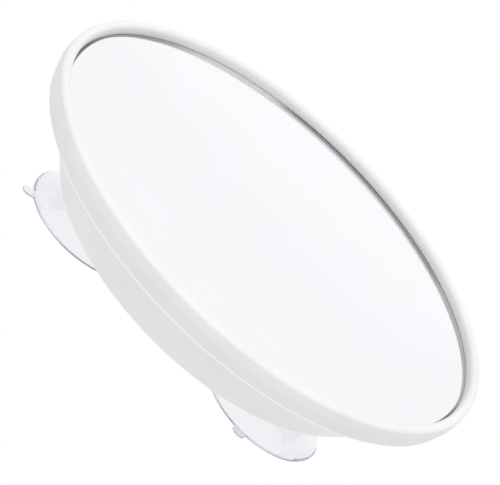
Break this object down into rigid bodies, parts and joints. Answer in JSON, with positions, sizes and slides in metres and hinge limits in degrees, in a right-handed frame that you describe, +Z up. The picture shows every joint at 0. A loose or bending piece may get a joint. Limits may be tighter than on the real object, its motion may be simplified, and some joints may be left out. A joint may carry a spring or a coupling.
{
  "type": "suction cup makeup mirror",
  "caption": "Round concave makeup mirror in a white plastic bezel and dished back shell, held to a smooth wall by clear suction cups that turn in their sockets.",
  "frame": {"origin": "centre of the wall plane that the lips of the three suction cups touch", "axes": "+Z up the wall, +Y into the wall, so the mirror's face looks along -Y; +X to the right as one looks at the face"},
  "size_m": [0.15, 0.0353, 0.15],
  "materials": {
    "white_plastic": "smooth moulded, satin to gloss",
    "mirror_glass": "polished concave mirror",
    "grey_film": "thin grey backing film",
    "white_foam": "closed-cell foam tape",
    "inner_plastic": "unpolished moulded",
    "zinc_steel": "zinc plated",
    "clear_vinyl": "soft clear vinyl with a faint blue cast"
  },
  "bodies": {
    "head": {"front_bezel": "white_plastic", "mirror_glass": "mirror_glass", "safety_film": "grey_film", "foam_ring": "white_foam", "glass_carrier": "inner_plastic", "back_shell": "white_plastic", "foam_pad_1": "white_foam", "foam_pad_2": "white_foam", "foam_pad_3": "white_foam", "carrier_screw_1": "zinc_steel", "carrier_screw_2": "zinc_steel", "carrier_screw_3": "zinc_steel"},
    "cup_1": {"suction_cup_1": "clear_vinyl"},
    "cup_2": {"suction_cup_2": "clear_vinyl"},
    "cup_3": {"suction_cup_3": "clear_vinyl"}
  },
  "joints": [
    {"name": "cup_turn_1", "type": "hinge", "parent": "head", "child": "cup_1", "pos_m": [0, -0.0098, 0.0395], "axis": [0, 1, 0], "continuous": true},
    {"name": "cup_turn_2", "type": "hinge", "parent": "head", "child": "cup_2", "pos_m": [0.03421, -0.0098, -0.01975], "axis": [0, 1, 0], "continuous": true},
    {"name": "cup_turn_3", "type": "hinge", "parent": "head", "child": "cup_3", "pos_m": [-0.03421, -0.0098, -0.01975], "axis": [0, 1, 0], "continuous": true}
  ]
}
